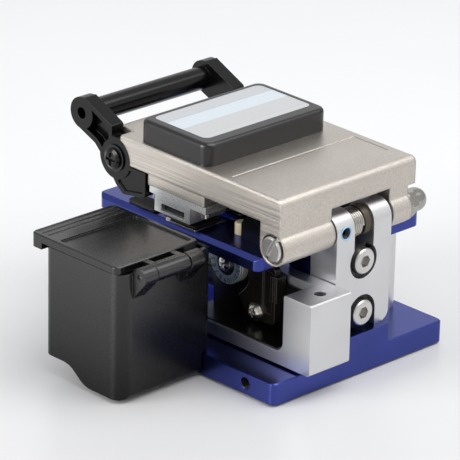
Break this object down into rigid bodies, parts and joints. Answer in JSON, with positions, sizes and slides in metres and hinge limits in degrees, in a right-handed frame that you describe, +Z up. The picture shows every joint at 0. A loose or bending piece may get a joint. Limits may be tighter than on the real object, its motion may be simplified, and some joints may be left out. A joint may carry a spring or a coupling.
{
  "type": "fibre cleaver",
  "caption": "Hand-held precision cleaver: a hinged press lever clamps the fibre on a platform while a sliding round blade scores it; scrap drops into a lidded side box.",
  "frame": {"origin": "centre of the base footprint on the table plane, under the non-slip sheet", "axes": "+Z up; +X towards the scrap box; +Y towards the lever hinge (rear); the finger bail is at -Y"},
  "size_m": [0.0921, 0.0885, 0.061],
  "materials": {
    "non_slip_sheet": "matt black rubber",
    "base_plate": "satin violet-blue anodised aluminium",
    "bin_dowels": "polished steel",
    "support_column": "satin machined",
    "hinge_pillar": "satin machined",
    "pillar_screws": "blackened steel",
    "screw_cups": "satin moulded black",
    "pillar_set_screw": "blackened steel",
    "hinge_screw": "polished steel",
    "hinge_washer": "polished steel",
    "acorn_nut": "polished steel",
    "hinge_spring": "polished steel",
    "spring_bush": "cream nylon",
    "platform": "satin violet-blue anodised aluminium",
    "platform_posts": "satin machined",
    "platform_screws": "polished steel",
    "lower_clamp_seats": "polished steel",
    "lower_pads": "matt black rubber",
    "fibre_guide": "satin machined",
    "guide_screws": "polished steel",
    "nylon_bumper": "cream nylon",
    "bail_rest": "matt black rubber",
    "inner_cover": "satin moulded black",
    "slide_rail": "polished steel",
    "rail_screws": "blackened steel",
    "lever_casting": "fine-blasted champagne nickel",
    "press_pad": "satin moulded black",
    "label_plate": "satin silver label film",
    "clamp_block_right": "satin machined",
    "clamp_block_left": "satin machined",
    "clamp_frame_right": "polished steel",
    "clamp_frame_left": "polished steel",
    "clamp_pins": "polished steel",
    "anvil_guide": "satin machined",
    "bail_screws": "polished steel",
    "bail_washers": "blackened steel",
    "bail": "satin moulded black",
    "clamp_holder_right": "satin moulded black",
    "clamp_rubber_right": "matt black rubber",
    "clamp_holder_left": "satin moulded black",
    "clamp_rubber_left": "matt black rubber",
    "anvil": "polished steel",
    "slide_truck": "polished steel",
    "truck_screws": "blackened steel",
    "carriage_frame": "satin machined",
    "carriage_liner": "satin moulded black",
    "blade_bracket": "satin machined",
    "blade_guard": "smoked brown",
    "guard_screw": "polished steel",
    "blade_wheel": "ground tungsten carbide",
    "blade_axle": "polished steel",
    "blade_drum": "cream nylon",
    "blade_dial": "light grey-blue dial ring",
    "blade_hub": "blackened steel",
    "blade_screw": "polished steel",
    "bin_box": "satin moulded black",
    "bin_hinge_pin": "polished steel",
    "bin_lid": "satin moulded black"
  },
  "bodies": {
    "base": {"non_slip_sheet": "non_slip_sheet", "base_plate": "base_plate", "bin_dowels": "bin_dowels", "support_column": "support_column", "hinge_pillar": "hinge_pillar", "pillar_screws": "pillar_screws", "screw_cups": "screw_cups", "pillar_set_screw": "pillar_set_screw", "hinge_screw": "hinge_screw", "hinge_washer": "hinge_washer", "acorn_nut": "acorn_nut", "hinge_spring": "hinge_spring", "spring_bush": "spring_bush", "platform": "platform", "platform_posts": "platform_posts", "platform_screws": "platform_screws", "lower_clamp_seats": "lower_clamp_seats", "lower_pads": "lower_pads", "fibre_guide": "fibre_guide", "guide_screws": "guide_screws", "nylon_bumper": "nylon_bumper", "bail_rest": "bail_rest", "inner_cover": "inner_cover", "slide_rail": "slide_rail", "rail_screws": "rail_screws"},
    "lever": {"lever_casting": "lever_casting", "press_pad": "press_pad", "label_plate": "label_plate", "clamp_block_right": "clamp_block_right", "clamp_block_left": "clamp_block_left", "clamp_frame_right": "clamp_frame_right", "clamp_frame_left": "clamp_frame_left", "clamp_pins": "clamp_pins", "anvil_guide": "anvil_guide", "bail_screws": "bail_screws", "bail_washers": "bail_washers"},
    "bail": {"bail": "bail"},
    "clamp_right": {"clamp_holder_right": "clamp_holder_right", "clamp_rubber_right": "clamp_rubber_right"},
    "clamp_left": {"clamp_holder_left": "clamp_holder_left", "clamp_rubber_left": "clamp_rubber_left"},
    "anvil": {"anvil": "anvil"},
    "carriage": {"slide_truck": "slide_truck", "truck_screws": "truck_screws", "carriage_frame": "carriage_frame", "carriage_liner": "carriage_liner", "blade_bracket": "blade_bracket", "blade_guard": "blade_guard", "guard_screw": "guard_screw"},
    "blade": {"blade_wheel": "blade_wheel", "blade_axle": "blade_axle", "blade_drum": "blade_drum", "blade_dial": "blade_dial", "blade_hub": "blade_hub", "blade_screw": "blade_screw"},
    "bin": {"bin_box": "bin_box", "bin_hinge_pin": "bin_hinge_pin"},
    "lid": {"bin_lid": "bin_lid"}
  },
  "joints": [
    {"name": "lever_hinge", "type": "hinge", "parent": "base", "child": "lever", "pos_m": [0, 0.0253, 0.0403], "axis": [-1, 0, 0], "range_deg": [0, 65]},
    {"name": "bail_pivot", "type": "hinge", "parent": "lever", "child": "bail", "pos_m": [0, -0.03463, 0.04753], "axis": [1, 0, 0], "range_deg": [-20, 0]},
    {"name": "clamp_spring_right", "type": "slide", "parent": "lever", "child": "clamp_right", "axis": [0, 0.0105, 0.9999], "range_m": [0, 0.0008], "stiffness_N_per_m": 500, "springref_m": -0.002},
    {"name": "clamp_spring_left", "type": "slide", "parent": "lever", "child": "clamp_left", "axis": [0, 0.0105, 0.9999], "range_m": [0, 0.0008], "stiffness_N_per_m": 500, "springref_m": -0.002},
    {"name": "anvil_spring", "type": "slide", "parent": "lever", "child": "anvil", "axis": [0, 0.0105, 0.9999], "range_m": [0, 0.0008], "stiffness_N_per_m": 500, "springref_m": -0.002},
    {"name": "carriage_slide", "type": "slide", "parent": "base", "child": "carriage", "axis": [0, -1, 0], "range_m": [0, 0.022]},
    {"name": "blade_turn", "type": "hinge", "parent": "carriage", "child": "blade", "pos_m": [0.0095, -0.0025, 0.0247], "axis": [1, 0, 0], "continuous": true},
    {"name": "bin_pull_off", "type": "slide", "parent": "base", "child": "bin", "axis": [1, 0, 0], "range_m": [0, 0.03]},
    {"name": "lid_hinge", "type": "hinge", "parent": "bin", "child": "lid", "pos_m": [0.0462, 0.0086, 0.0356], "axis": [-1, 0, 0], "range_deg": [0, 110]}
  ]
}
